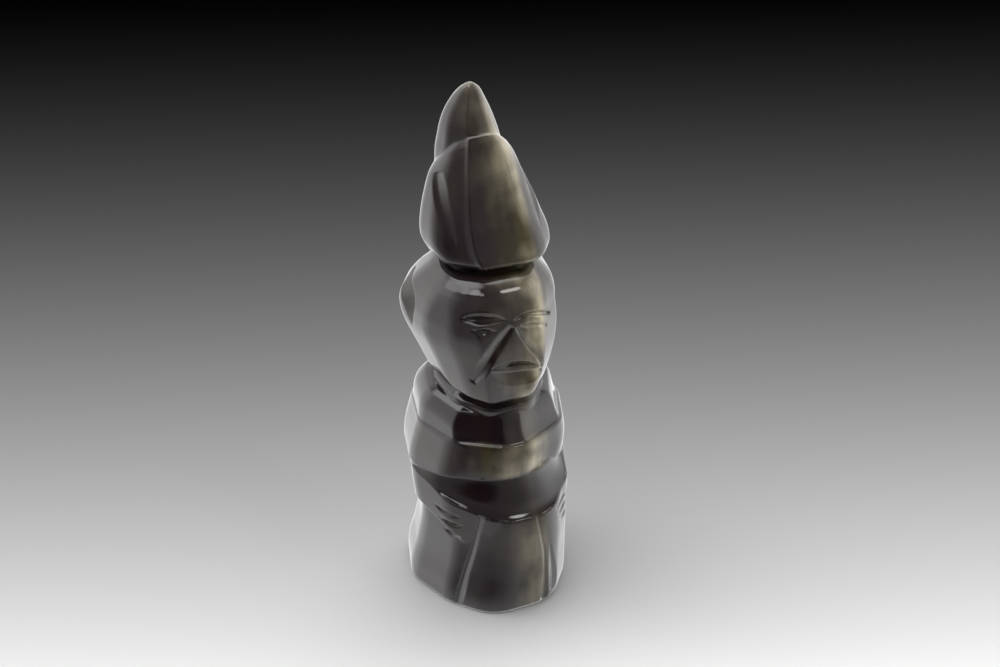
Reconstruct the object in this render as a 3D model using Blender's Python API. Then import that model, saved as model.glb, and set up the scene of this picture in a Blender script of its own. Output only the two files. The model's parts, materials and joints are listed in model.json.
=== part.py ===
# Tiger eye idol: a standing figure in a tall peaked headdress, cut from one block of dark
# polished stone. Metres, +Z up. It faces -Y and stands on its flat underside at z = 0.
# All sizes below are millimetres. "Forward" is the distance towards -Y.
from math import atan2
from math import ceil
from math import cos
from math import pi
from math import radians
from math import sin

import bmesh
import bpy
from mathutils import Matrix
from mathutils import Vector
from mathutils.bvhtree import BVHTree

for old in list(bpy.data.objects):
    bpy.data.objects.remove(old, do_unlink=True)

MM = 0.001
ROUND_STEPS = 3
RING_SPACING = 3.6
SHARP_ANGLE = 25.0
EDGE_LIFT = 0.08
ARM_UNDERSIDE = {"rise": 11.0, "steep": 0.967}

# The carving's own axis stands here, so that the middle of its box is over the origin.
AXIS = Vector((-1.4, 0.95, 0.0))

# Each tier of the figure is a stack of level sections. A section is a rounded polygon with a
# narrow front and a wide back. Its corners run from front to back on one side:
# (share of the half-width, place between back -1 and front +1, rounding).
# A ring is (height, forward reach, backward reach, half-width, sideways shift, slope).
# The slope raises the ring's back when it is negative.
SKIRT = {
    "corners": ((0.40, 1.0, 15.0), (0.79, 0.50, 8.0), (1.0, -0.16, 12.0), (0.74, -1.0, 11.0)),
    "rings": (
        (0.0, 27.6, 25.6, 27.2, 1.2, 0.0),
        (0.8, 28.3, 26.4, 28.0, 1.2, 0.0),
        (4.0, 28.5, 26.4, 28.2, 1.3, 0.0),
        (16.0, 28.2, 24.4, 26.9, 2.3, 0.0),
        (27.0, 28.0, 22.6, 26.1, 2.9, 0.0),
        (40.0, 27.8, 22.0, 25.5, 2.7, 0.0),
        (54.0, 24.0, 21.0, 24.0, 2.2, 0.0),
    ),
}
ARMS = {
    "corners": ((0.36, 1.0, 10.0), (0.81, 0.52, 8.0), (1.0, -0.12, 12.0), (0.74, -1.0, 11.0)),
    "rings": (
        (20.0, 25.6, 23.2, 25.4, 2.0, 0.0),
        (32.0, 26.8, 23.8, 27.1, 2.1, 0.0),
        (44.0, 27.2, 24.8, 27.9, 1.7, 0.0),
        (49.0, 26.6, 25.2, 27.9, 1.3, 0.0),
        (53.0, 24.0, 24.0, 25.8, 0.8, 0.0),
    ),
}
CHEST = {
    "corners": ((0.14, 1.0, 3.0), (0.72, 0.64, 3.5), (1.0, -0.08, 9.0), (0.78, -1.0, 11.0)),
    "rings": (
        (47.0, 22.4, 23.6, 25.3, 0.8, 0.0),
        (50.5, 24.6, 25.6, 27.6, 0.8, 0.0),
        (56.0, 25.4, 26.6, 27.9, 1.5, 0.0),
        (61.0, 25.4, 26.0, 26.7, 2.7, 0.0),
        (66.0, 25.0, 25.0, 25.4, 2.2, 0.0),
        (66.8, 24.6, 24.8, 25.2, 1.9, 0.0),
        (69.5, 23.8, 24.0, 24.9, 1.3, -0.03),
        (73.0, 22.8, 22.6, 24.2, 0.7, -0.06),
        (78.4, 21.6, 18.4, 22.3, 1.7, -0.09),
        (79.4, 20.6, 17.0, 20.9, 2.2, -0.09),
        (82.0, 15.0, 12.0, 15.0, 1.0, -0.09),
    ),
}
NECK = {
    "corners": ((0.5, 1.0, 5.0), (0.9, 0.3, 6.0), (0.9, -0.5, 6.0), (0.5, -1.0, 5.0)),
    "rings": ((66.0, 16.5, 13.0, 15.5, 1.0, 0.0), (96.0, 16.5, 13.0, 15.5, 0.6, 0.0)),
}
HEAD = {
    "corners": ((0.36, 1.0, 5.0), (0.68, 0.66, 9.0), (1.0, -0.50, 6.0), (0.66, -1.0, 8.0)),
    "rings": (
        (81.0, 17.0, 11.0, 13.0, 0.8, 0.0),
        (83.0, 22.2, 14.2, 16.7, 0.8, -0.06),
        (84.2, 22.9, 15.6, 18.4, 0.6, -0.05),
        (90.0, 24.2, 18.6, 20.9, 0.9, -0.03),
        (97.0, 24.8, 21.2, 23.8, 0.9, 0.0),
        (104.0, 25.1, 23.0, 26.0, 0.3, 0.0),
        (111.0, 25.0, 23.6, 26.4, -0.1, 0.0),
        (116.0, 24.6, 21.6, 24.2, 0.1, 0.04),
        (121.0, 23.4, 17.2, 18.2, 0.1, 0.05),
        (124.6, 21.9, 14.4, 13.8, 0.0, 0.03),
        (125.4, 21.0, 13.0, 12.0, 0.0, 0.0),
        (127.0, 15.0, 11.0, 10.6, 0.0, 0.0),
    ),
}
HEADDRESS = {
    "corners": ((0.60, 1.0, 1.2), (0.96, 0.44, 8.0), (1.0, -0.28, 8.0), (0.62, -1.0, 9.0)),
    "rings": (
        (124.0, 13.0, 11.0, 11.6, 0.0, 0.0),
        (127.6, 17.0, 15.0, 16.6, 0.8, 0.0),
        (128.8, 17.2, 16.4, 18.9, 1.0, 0.0),
        (133.5, 15.0, 18.4, 20.4, 0.5, 0.0),
        (140.0, 11.4, 18.8, 19.1, -0.1, 0.0),
        (146.0, 8.2, 18.8, 17.3, -0.2, 0.0),
        (151.0, 5.6, 18.8, 15.5, -0.1, 0.0),
        (154.4, 2.8, 18.8, 13.6, 0.1, 0.15),
        (157.2, 0.3, 18.8, 11.8, 0.4, 0.40),
        (159.6, -2.0, 18.6, 9.0, 0.0, 0.70),
        (160.2, -3.0, 18.0, 7.4, -0.4, 0.70),
    ),
}
PEAK = {
    "corners": ((0.42, 1.0, 1.4), (0.92, 0.30, 5.0), (1.0, -0.30, 6.0), (0.50, -1.0, 5.0)),
    "rings": (
        (148.0, -4.0, 22.0, 11.0, -0.4, 0.0),
        (158.0, -5.0, 22.4, 10.6, -0.4, 0.0),
        (165.0, -5.8, 21.4, 9.2, -0.3, 0.0),
        (170.0, -6.8, 20.0, 7.6, -0.2, 0.0),
        (174.5, -7.8, 17.8, 5.4, 0.0, 0.0),
        (178.0, -8.6, 14.8, 3.2, 0.2, 0.0),
        (180.0, -10.2, 12.0, 0.8, 0.2, 0.0),
    ),
}

# Floors of a hollow: (share of the way across, share of the depth) points.
ROUND_FLOOR = ((0.08, 0.33), (0.27, 0.80), (0.5, 1.0), (0.73, 0.80), (0.92, 0.33))
EARLY_FLOOR = ((0.30, 1.0), (0.62, 0.72))
MIDDLE_FLOOR = ((0.5, 1.0),)
LATE_FLOOR = ((0.64, 1.0),)

# Carving between two edges drawn near the surface and then laid onto it: points are (across, forward,
# height), to the nearest half millimetre.
HOLLOWS = {
    "scoop": {
        "one": (
            (-26.0, -3.5, 49.0), (-21.5, 10.0, 52.0), (-13.0, 20.0, 53.5), (-2.0, 24.5, 53.5),
            (12.0, 22.0, 52.0), (24.5, 8.5, 50.0), (27.5, -8.0, 45.0),
        ),
        "other": (
            (-26.0, -3.5, 48.5), (-23.5, 7.0, 45.5), (-17.5, 18.5, 41.5), (-8.0, 26.0, 38.5),
            (5.0, 27.5, 36.5), (21.0, 17.0, 38.5), (28.0, -8.0, 44.5),
        ),
        "depth": 8.0, "floor": ROUND_FLOOR, "over": 7.0, "stations": 22,
    },
    "right wing groove": {
        "one": (
            (-8.5, -17.5, 158.5), (-11.5, -7.0, 156.0), (-12.5, 0.0, 152.0), (-13.0, 5.0, 146.0),
            (-13.5, 9.0, 139.5), (-14.0, 10.5, 135.5),
        ),
        "other": (
            (-10.0, -18.0, 154.5), (-14.0, -10.5, 151.5), (-16.0, -2.5, 147.5), (-16.0, 3.5, 142.0),
            (-15.0, 8.0, 137.5), (-14.0, 10.5, 135.0),
        ),
        "depth": 2.4, "floor": EARLY_FLOOR,
    },
    "left wing groove": {
        "one": (
            (9.5, -17.5, 158.5), (12.5, -7.0, 156.0), (13.5, 0.0, 152.0), (14.0, 5.0, 146.0),
            (14.5, 9.0, 139.5), (15.5, 10.5, 135.5),
        ),
        "other": (
            (11.0, -18.0, 154.5), (14.5, -10.5, 151.5), (17.0, -2.5, 147.5), (17.5, 3.5, 142.0),
            (16.5, 8.0, 137.5), (15.5, 10.5, 135.0),
        ),
        "depth": 2.4, "floor": EARLY_FLOOR,
    },
    "right ear hollow": {
        "one": (
            (-20.0, -14.5, 119.5), (-22.0, -8.5, 118.0), (-23.5, -3.5, 113.0), (-23.5, -2.5, 107.0),
            (-23.0, -5.0, 101.0),
        ),
        "other": (
            (-20.5, -16.5, 117.5), (-23.5, -13.0, 114.5), (-24.5, -10.5, 110.0), (-24.5, -8.5, 105.0),
            (-23.5, -6.0, 100.5),
        ),
        "depth": 2.2, "floor": EARLY_FLOOR,
    },
    "left ear hollow": {
        "one": (
            (20.0, -14.5, 119.5), (22.0, -8.5, 118.0), (23.5, -3.5, 113.0), (23.5, -2.5, 107.0),
            (23.0, -5.0, 101.0),
        ),
        "other": (
            (20.5, -16.5, 117.5), (23.5, -13.0, 114.5), (24.5, -10.5, 110.0), (24.5, -8.5, 105.0),
            (23.5, -6.0, 100.5),
        ),
        "depth": 2.2, "floor": EARLY_FLOOR,
    },
    "right upper eyelid": {
        "one": (
            (-16.5, 17.5, 114.0), (-15.0, 18.5, 115.5), (-11.0, 21.5, 117.5), (-7.0, 24.5, 117.0),
            (-3.0, 25.0, 114.0),
        ),
        "other": (
            (-16.5, 17.5, 113.5), (-14.0, 20.5, 113.0), (-10.0, 24.0, 113.0), (-6.5, 25.0, 113.0),
            (-3.0, 25.0, 113.5),
        ),
        "depth": 1.5, "floor": LATE_FLOOR,
    },
    "right lower eyelid": {
        "one": (
            (-14.5, 20.5, 111.0), (-12.5, 22.0, 111.5), (-10.5, 23.5, 112.0), (-8.5, 25.0, 112.0),
            (-6.5, 25.0, 111.0),
        ),
        "other": (
            (-14.5, 20.5, 110.5), (-13.0, 21.5, 109.5), (-11.5, 23.0, 109.0), (-8.5, 25.0, 110.0),
            (-6.5, 25.0, 110.5),
        ),
        "depth": 1.2, "floor": MIDDLE_FLOOR,
    },
    "left brow": {
        "one": (
            (-1.0, 25.0, 113.5), (1.5, 24.5, 115.0), (5.0, 24.5, 115.5), (8.5, 24.0, 115.0),
            (13.5, 20.5, 112.5),
        ),
        "other": (
            (-1.0, 25.0, 113.0), (2.0, 25.0, 113.0), (5.0, 25.0, 113.0), (8.5, 24.5, 112.5),
            (13.5, 20.5, 112.0),
        ),
        "depth": 1.3, "floor": LATE_FLOOR,
    },
    "left eyelid": {
        "one": (
            (1.0, 25.0, 111.5), (3.5, 25.0, 111.5), (6.0, 25.0, 111.5), (8.5, 25.0, 111.0),
            (13.0, 22.0, 108.5),
        ),
        "other": (
            (1.0, 25.0, 111.0), (3.5, 25.0, 109.5), (6.0, 25.0, 109.0), (8.5, 25.0, 108.5),
            (13.0, 22.0, 108.0),
        ),
        "depth": 1.2, "floor": MIDDLE_FLOOR,
    },
    "right nose groove": {
        "one": (
            (-2.5, 25.0, 112.5), (-7.0, 25.0, 109.0), (-11.0, 23.0, 103.0), (-13.0, 19.5, 96.5),
            (-13.0, 16.0, 89.5),
        ),
        "other": (
            (-1.5, 25.0, 111.5), (-4.5, 25.0, 106.0), (-7.0, 25.0, 101.5), (-9.5, 22.5, 96.0),
            (-11.5, 17.5, 87.5),
        ),
        "depth": 1.6, "floor": LATE_FLOOR,
    },
    "left nose groove": {
        "one": (
            (-1.0, 25.0, 111.5), (1.5, 25.0, 104.5), (4.5, 25.0, 99.0), (8.0, 24.5, 93.5),
            (11.5, 21.0, 88.5),
        ),
        "other": (
            (-0.5, 25.0, 111.5), (4.0, 25.0, 105.5), (7.5, 25.0, 100.0), (11.0, 22.5, 94.0),
            (13.5, 19.5, 89.0),
        ),
        "depth": 1.4, "floor": MIDDLE_FLOOR,
    },
    "mouth": {
        "one": (
            (-8.5, 23.5, 96.5), (-5.0, 25.0, 98.0), (-1.0, 25.0, 98.5), (3.5, 25.0, 97.5),
            (8.0, 24.5, 94.5),
        ),
        "other": (
            (-8.5, 23.5, 96.5), (-4.5, 24.5, 96.0), (0.0, 24.5, 95.0), (4.5, 24.5, 94.5),
            (8.0, 24.5, 94.0),
        ),
        "depth": 2.0, "floor": MIDDLE_FLOOR,
    },
    "lower lip": {
        "one": (
            (-9.0, 23.5, 95.0), (-4.5, 24.5, 95.0), (0.0, 24.5, 94.0), (4.5, 24.5, 93.5),
            (9.5, 24.0, 92.5),
        ),
        "other": (
            (-9.0, 23.0, 94.5), (-5.5, 24.0, 90.5), (-1.0, 24.0, 88.0), (4.5, 24.0, 88.0),
            (10.0, 22.0, 90.5),
        ),
        "depth": 1.3, "floor": LATE_FLOOR,
    },
    "right panel edge": {
        "one": (
            (-15.5, 20.5, 40.0), (-16.5, 18.5, 31.0), (-19.0, 16.0, 21.5), (-21.5, 13.5, 12.0),
            (-23.5, 12.0, -1.0),
        ),
        "other": (
            (-10.0, 25.0, 40.5), (-11.0, 23.5, 33.0), (-12.5, 22.0, 22.5), (-14.5, 21.0, 12.5),
            (-17.0, 19.0, -1.0),
        ),
        "depth": 1.4, "floor": LATE_FLOOR,
    },
    "left panel edge": {
        "one": (
            (6.0, 28.0, 38.0), (8.5, 27.5, 29.0), (9.5, 27.5, 21.0), (9.5, 28.0, 12.0),
            (8.0, 28.0, -1.0),
        ),
        "other": (
            (12.0, 27.0, 38.0), (12.5, 26.5, 28.0), (12.5, 26.5, 20.0), (12.5, 27.0, 12.0),
            (13.0, 27.0, -1.0),
        ),
        "depth": 1.4, "floor": MIDDLE_FLOOR,
    },
}
FINGERS = {
    "right": (
        ((-23.0, 7.0, 38.5), (-21.5, 11.0, 37.0), (-20.0, 14.5, 37.0), (-16.0, 19.0, 37.0)),
        ((-22.5, 8.0, 33.5), (-20.0, 14.0, 33.0), (-18.0, 16.5, 33.0), (-16.0, 19.0, 34.0)),
        ((-20.0, 8.5, 28.0), (-19.0, 12.0, 27.5), (-18.0, 14.5, 27.5), (-16.5, 18.0, 28.5)),
    ),
    "left": (
        ((25.5, 10.0, 34.0), (22.5, 15.5, 34.5), (19.0, 20.0, 35.0), (14.0, 25.5, 35.5)),
        ((25.5, 9.5, 30.0), (22.0, 16.5, 31.0), (19.0, 20.5, 31.5), (15.5, 24.0, 32.0)),
        ((24.5, 11.5, 26.0), (23.0, 15.5, 27.0), (20.5, 18.5, 27.5), (16.5, 23.5, 29.5)),
    ),
}
FINGER_GROOVE = {"half_width": 1.0, "depth": 1.1}


def rounded(corners, steps):
    """The closed outline through a polygon's corners, each cut to a smooth bend."""
    points = []
    count = len(corners)
    for index, (corner, rounding) in enumerate(corners):
        before = corners[index - 1][0]
        after = corners[(index + 1) % count][0]
        back = (before - corner).normalized()
        ahead = (after - corner).normalized()
        half_turn = (pi - back.angle(ahead)) / 2
        reach = rounding * sin(half_turn) / cos(half_turn)
        reach = min(reach, 0.48 * (before - corner).length, 0.48 * (after - corner).length)
        start = corner + back * reach
        end = corner + ahead * reach
        for step in range(steps + 1):
            share = step / steps
            inner = start.lerp(corner, share)
            outer = corner.lerp(end, share)
            points.append(inner.lerp(outer, share))
    return points


def section(tier, ring, steps):
    """The points of one ring, in millimetres."""
    height, front, back, half, shift, slope = ring
    middle = (front - back) / 2
    depth = (front + back) / 2
    right = []
    for across, along, rounding in tier["corners"]:
        right.append((Vector((across * half, middle + along * depth)), rounding))
    left = [(Vector((-corner.x, corner.y)), rounding) for corner, rounding in reversed(right)]
    points = []
    for point in rounded(right + left, steps):
        rise = slope * (point.y - middle)
        points.append(AXIS + Vector((point.x + shift, -point.y, height + rise)))
    return points


def gradients(rings):
    """How fast each ring value changes with height, kept flat at its highs and lows."""
    spans = [upper[0] - lower[0] for lower, upper in zip(rings, rings[1:])]
    table = []
    for column in zip(*rings):
        steep = [(b - a) / span for a, b, span in zip(column, column[1:], spans)]
        slopes = [steep[0]]
        for before, after, low, high in zip(steep, steep[1:], spans, spans[1:]):
            if before * after <= 0:
                slopes.append(0.0)
                continue
            first = 2 * high + low
            second = high + 2 * low
            slopes.append((first + second) / (first / before + second / after))
        slopes.append(steep[-1])
        table.append(slopes)
    return list(zip(*table))


def between(rings, slopes, index, share):
    """Ring values part of the way from one ring to the next, on a smooth curve."""
    span = rings[index + 1][0] - rings[index][0]
    values = []
    for a, b, p, q in zip(rings[index], rings[index + 1], slopes[index], slopes[index + 1]):
        bend = (p - (b - a) / span) * (1 - share) - (q - (b - a) / span) * share
        values.append(a + (b - a) * share + bend * span * share * (1 - share))
    return values


def loft(name, tier, steps=ROUND_STEPS, coarsest=RING_SPACING):
    """A closed solid through a tier's rings, with extra rings where they are far apart."""
    bm = bmesh.new()
    rings = tier["rings"]
    slopes = gradients(rings)
    levels = [rings[0]]
    for index in range(len(rings) - 1):
        parts = ceil((rings[index + 1][0] - rings[index][0]) / coarsest)
        for part in range(1, parts + 1):
            levels.append(between(rings, slopes, index, part / parts))
    upper = [bm.verts.new(point * MM) for point in section(tier, levels[0], steps)]
    bm.faces.new(upper)
    for level in levels[1:]:
        edges = [bm.edges.get(pair) or bm.edges.new(pair) for pair in zip(upper, upper[1:] + upper[:1])]
        grown = bmesh.ops.extrude_edge_only(bm, edges=edges)["geom"]
        fresh = set(item for item in grown if isinstance(item, bmesh.types.BMVert))
        lower = upper
        upper = []
        for vert, point in zip(lower, section(tier, level, steps)):
            raised = next(e.other_vert(vert) for e in vert.link_edges if e.other_vert(vert) in fresh)
            raised.co = point * MM
            upper.append(raised)
    bm.faces.new(upper)
    bmesh.ops.recalc_face_normals(bm, faces=bm.faces)
    piece = finish(name, bm)
    piece.data.shade_smooth()
    piece.data.set_sharp_from_angle(angle=radians(SHARP_ANGLE))
    return piece


def finish(name, bm):
    bmesh.ops.triangulate(bm, faces=bm.faces)
    mesh = bpy.data.meshes.new(name)
    bm.to_mesh(mesh)
    bm.free()
    piece = bpy.data.objects.new(name, mesh)
    bpy.context.scene.collection.objects.link(piece)
    return piece


def spot(across, forward, height):
    return AXIS + Vector((across, -forward, height))


def smooth_route(points, count):
    """Points at even shares of a smooth curve through a few given ones."""
    last = len(points) - 1
    route = []
    for step in range(count + 1):
        place = last * step / count
        index = min(int(place), last - 1)
        share = place - index
        b = points[index]
        c = points[index + 1]
        a = points[index - 1] if index else b * 2 - c
        d = points[index + 2] if index + 2 <= last else c * 2 - b
        bend = (a * 2 - b * 5 + c * 4 - d) * share ** 2 + (b * 3 - a - c * 3 + d) * share ** 3
        route.append(b + ((c - a) * share + bend) / 2)
    return route


def laid(surface, points, count):
    """A smooth route brought down onto the surface."""
    route = smooth_route([spot(*point) for point in points], count)
    return [surface.find_nearest(point * MM)[0] / MM for point in route]


def cutter(name, rings):
    """A solid skinned over a row of section rings and closed at both ends."""
    bm = bmesh.new()
    placed = [[bm.verts.new(point * MM) for point in ring] for ring in rings]
    count = len(rings[0])
    for lower, upper in zip(placed, placed[1:]):
        for place in range(count):
            after = (place + 1) % count
            bm.faces.new((lower[place], lower[after], upper[after], upper[place]))
    bm.faces.new(reversed(placed[0]))
    bm.faces.new(placed[-1])
    if bm.calc_volume(signed=True) < 0:
        bmesh.ops.reverse_faces(bm, faces=bm.faces)
    return finish(name, bm)


def outward(along, across, point):
    """The direction out of the surface, square to a cut and to the line across it."""
    out = along.cross(across).normalized()
    away = Vector((point.x - AXIS.x, point.y - AXIS.y, 0.0))
    return out if out.dot(away) > 0 else -out


def hollow(name, surface, one, other, depth, floor, over=2.0, stations=12):
    """A cutter between two edges on the surface, shallower where they come together."""
    near = laid(surface, one, stations)
    far = laid(surface, other, stations)
    widest = max((b - a).length for a, b in zip(near, far))
    outs = []
    for index in range(1, stations):
        along = near[index + 1] + far[index + 1] - near[index - 1] - far[index - 1]
        outs.append(outward(along, far[index] - near[index], near[index]))
    rings = []
    for a, b, out in zip(near, far, outs[:1] + outs + outs[-1:]):
        across = b - a
        drop = depth * max(across.length / widest, 0.05)
        ring = [a + out * over, a + out * EDGE_LIFT]
        ring += [a + across * share - out * drop * deep for share, deep in floor]
        ring += [b + out * EDGE_LIFT, b + out * over]
        rings.append(ring)
    return cutter(name, rings)


def slit(name, surface, route, half_width, depth, over=1.5, stations=8):
    """A V-shaped cutter drawn along the surface, dying away at both ends."""
    points = laid(surface, route, stations)
    rings = []
    for index, point in enumerate(points):
        share = index / stations
        size = 0.1 + 3.6 * share * (1 - share)
        along = (points[min(index + 1, stations)] - points[max(index - 1, 0)]).normalized()
        side = along.cross(Vector((point.x - AXIS.x, point.y - AXIS.y, 0.0))).normalized()
        out = side.cross(along)
        edge = side * half_width * size
        flare = edge * (1 + over / depth)
        rings.append([point - out * depth * size, point + flare + out * over, point - flare + out * over])
    return cutter(name, rings)


def block(name, matrix, size):
    bm = bmesh.new()
    bmesh.ops.create_cube(bm, size=1.0)
    bmesh.ops.scale(bm, vec=[value * MM for value in size], verts=bm.verts)
    placing = matrix.copy()
    placing.translation = placing.translation * MM
    bmesh.ops.transform(bm, matrix=placing, verts=bm.verts)
    return finish(name, bm)


def join(piece, other, operation):
    step = piece.modifiers.new(other.name, "BOOLEAN")
    step.operation = operation
    step.solver = "EXACT"
    step.object = other
    other.hide_render = True
    other.display_type = "WIRE"


def below_arm(side):
    """The block under one forearm: its top face is the plane z = rise + steep * across."""
    size = 80.0
    lean = atan2(ARM_UNDERSIDE["steep"], 1.0)
    matrix = Matrix.Rotation(-lean * side, 4, "Y")
    centre = spot(0.0, 0.0, ARM_UNDERSIDE["rise"]) - matrix.to_3x3() @ Vector((0.0, 0.0, size / 2))
    matrix.translation = centre
    return block("under arm", matrix, (160.0, 160.0, size))


idol = loft("idol", SKIRT)
arms = loft("arms", ARMS)
for side in (-1, 1):
    join(arms, below_arm(side), "DIFFERENCE")
join(idol, arms, "UNION")
for name, tier in (("chest", CHEST), ("neck", NECK), ("head", HEAD), ("headdress", HEADDRESS), ("peak", PEAK)):
    join(idol, loft(name, tier), "UNION")
uncut = BVHTree.FromObject(idol, bpy.context.evaluated_depsgraph_get())
for name, cut in HOLLOWS.items():
    join(idol, hollow(name, uncut, **cut), "DIFFERENCE")
for side, hand in FINGERS.items():
    for number, route in enumerate(hand):
        join(idol, slit(side + " finger groove " + str(number + 1), uncut, route, **FINGER_GROOVE), "DIFFERENCE")

stone = bpy.data.materials.new("dark polished stone")
stone.use_nodes = True
shader = stone.node_tree.nodes["Principled BSDF"]
shader.inputs["Base Color"].default_value = (0.020, 0.016, 0.012, 1.0)
shader.inputs["Roughness"].default_value = 0.12
shader.inputs["Metallic"].default_value = 0.0
idol.data.materials.append(stone)
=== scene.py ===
import json
from math import atan2, ceil, cos, pi, radians, sin, tan

import bmesh
import bpy
from mathutils import Matrix, Vector
from mathutils.bvhtree import BVHTree

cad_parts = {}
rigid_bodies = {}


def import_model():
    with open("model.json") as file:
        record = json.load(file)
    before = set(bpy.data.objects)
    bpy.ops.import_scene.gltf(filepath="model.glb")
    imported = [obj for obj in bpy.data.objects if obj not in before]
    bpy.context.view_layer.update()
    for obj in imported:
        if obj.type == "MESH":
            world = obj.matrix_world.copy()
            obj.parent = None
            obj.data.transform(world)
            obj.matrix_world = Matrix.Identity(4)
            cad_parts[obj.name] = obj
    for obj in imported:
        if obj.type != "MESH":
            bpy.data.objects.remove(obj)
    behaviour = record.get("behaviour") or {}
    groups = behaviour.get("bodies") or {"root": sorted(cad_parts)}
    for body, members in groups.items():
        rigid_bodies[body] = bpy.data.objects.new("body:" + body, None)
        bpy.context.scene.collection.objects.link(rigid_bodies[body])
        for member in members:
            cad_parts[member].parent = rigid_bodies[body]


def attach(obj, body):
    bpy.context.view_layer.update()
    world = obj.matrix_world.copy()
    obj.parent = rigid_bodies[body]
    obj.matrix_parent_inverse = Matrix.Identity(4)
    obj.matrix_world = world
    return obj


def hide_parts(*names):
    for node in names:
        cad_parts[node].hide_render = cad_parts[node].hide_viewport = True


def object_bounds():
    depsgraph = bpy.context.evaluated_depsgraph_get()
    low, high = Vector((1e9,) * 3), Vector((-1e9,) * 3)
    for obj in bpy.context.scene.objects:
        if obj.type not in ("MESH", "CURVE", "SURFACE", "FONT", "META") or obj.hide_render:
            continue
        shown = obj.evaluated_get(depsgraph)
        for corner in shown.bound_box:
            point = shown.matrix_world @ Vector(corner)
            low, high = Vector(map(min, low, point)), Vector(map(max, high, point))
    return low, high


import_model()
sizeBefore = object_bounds()
print("frame loaded")

# Blender works in metres, the sizes below are millimetres
mm = 0.001

# where the carving's own axis stands, and how fine the surface is made
idolPiece = {
    "axis": (-1.4, 0.95, 0.0),
    "bendSteps": 9,  # steps round a corner
    "cornerShare": 0.48,  # the most of a side that a rounded corner takes
    "ringSpacing": 1.3,
    "edgeLift": 0.05,  # how far a cutter's edges stand off the surface
    "laidRounds": 6,  # how often a route is evened, laid on the surface or free
    "freeRounds": 3,
    "outRounds": 12,  # how often a cutter's outward directions are evened
    "leastDepth": 0.05,  # a hollow's depth where its edges meet, as a share
    "voxel": 0.29,
    "flatBelow": 0.25,  # under this height smoothing leaves the flat underside alone
    "smoothing": 4,
    "smoothFactor": 0.5,
    "triangles": 186000,
}
axis = Vector(idolPiece["axis"])

# Each tier is a row of rings: (height, reach forward, reach back, half width, shift to the figure's left,
# rise towards the front for each mm). A corner is (share of the half width, share of the reach, rounding).
# The right side's corners mirror the left's unless they are given. Corners given as above take over between
# its two heights. A soft span is (from, to, rounds): there the change from ring to ring is evened.
skirtTier = {
    "corners": ((0.40, 1.0, 15.0), (0.79, 0.50, 13.0), (1.0, -0.16, 12.0), (0.74, -1.0, 11.0)),
    "rings": (
        (0.0, 27.6, 25.6, 27.2, 1.2, 0.0),
        (0.8, 28.3, 26.4, 28.0, 1.2, 0.0),
        (4.0, 28.5, 26.4, 28.2, 1.3, 0.0),
        (16.0, 28.2, 24.4, 26.9, 2.3, 0.0),
        (27.0, 28.0, 22.6, 26.1, 2.9, 0.0),
        (40.0, 27.8, 22.0, 25.5, 2.7, 0.0),
        (54.0, 24.0, 21.0, 24.0, 2.2, 0.0),
    ),
}
armTier = {
    "corners": ((0.36, 1.0, 10.0), (0.81, 0.52, 12.0), (1.0, -0.12, 12.0), (0.74, -1.0, 11.0)),
    "rings": (
        (20.0, 25.6, 23.2, 25.4, 2.0, 0.0),
        (32.0, 26.8, 23.8, 27.1, 2.1, 0.0),
        (44.0, 27.2, 24.8, 27.9, 1.7, 0.0),
        (49.0, 26.6, 25.2, 27.9, 1.3, 0.0),
        (53.0, 24.0, 24.0, 25.8, 0.8, 0.0),
    ),
}
# the arms' lower edge rises from the middle to both sides: its height on the axis, its rise for each mm,
# and the size of the blocks that cut it
armCut = {"rise": 11.0, "steep": 0.967, "height": 80.0, "width": 160.0}
chestTier = {
    "corners": ((0.10, 1.0, 14.0), (0.74, 0.66, 14.0), (1.0, -0.08, 10.0), (0.78, -1.0, 11.0)),
    "rightCorners": ((-0.22, 1.0, 14.0), (-0.80, 0.60, 14.0), (-1.0, -0.08, 10.0), (-0.78, -1.0, 11.0)),
    "above": {
        "from": 64.8, "to": 66.6,
        "corners": ((0.07, 1.0, 1.2), (0.72, 0.66, 1.2), (1.0, -0.08, 9.0), (0.78, -1.0, 11.0)),
        "rightCorners": ((-0.20, 1.0, 3.0), (-0.78, 0.60, 1.2), (-1.0, -0.08, 9.0), (-0.78, -1.0, 11.0)),
    },
    "soft": ((51.0, 64.4, 10), (67.4, 76.5, 8)),
    "rings": (
        (47.0, 22.4, 23.6, 25.3, 0.8, 0.0),
        (50.5, 24.6, 25.6, 27.6, 0.8, 0.0),
        (56.0, 25.6, 26.4, 27.7, 1.5, 0.0),
        (61.0, 25.8, 26.0, 26.8, 2.2, 0.0),
        (65.0, 25.5, 25.4, 25.9, 2.2, 0.0),
        (65.6, 25.3, 25.3, 25.7, 2.1, 0.0),
        (66.3, 24.1, 24.6, 25.0, 1.9, 0.0),
        (72.0, 22.5, 22.8, 24.1, 1.1, -0.05),
        (76.2, 21.2, 19.4, 22.4, 1.5, -0.09),
        (78.0, 19.4, 17.0, 19.4, 1.6, -0.09),
        (78.6, 15.0, 12.0, 15.0, 1.0, -0.09),
    ),
}
neckTier = {
    "corners": ((0.42, 1.0, 9.0), (0.90, 0.42, 9.0), (0.94, -0.5, 9.0), (0.5, -1.0, 9.0)),
    "rings": (
        (60.0, 18.5, 15.0, 16.5, 1.0, 0.0),
        (76.0, 19.6, 16.0, 17.6, 1.0, -0.09),
        (79.0, 19.9, 16.4, 17.9, 1.0, -0.09),
        (79.4, 19.6, 16.1, 17.6, 1.0, -0.09),
        (81.6, 16.0, 13.0, 15.0, 1.0, -0.07),
        (96.0, 15.5, 13.0, 15.0, 0.6, 0.0),
    ),
}
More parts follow.
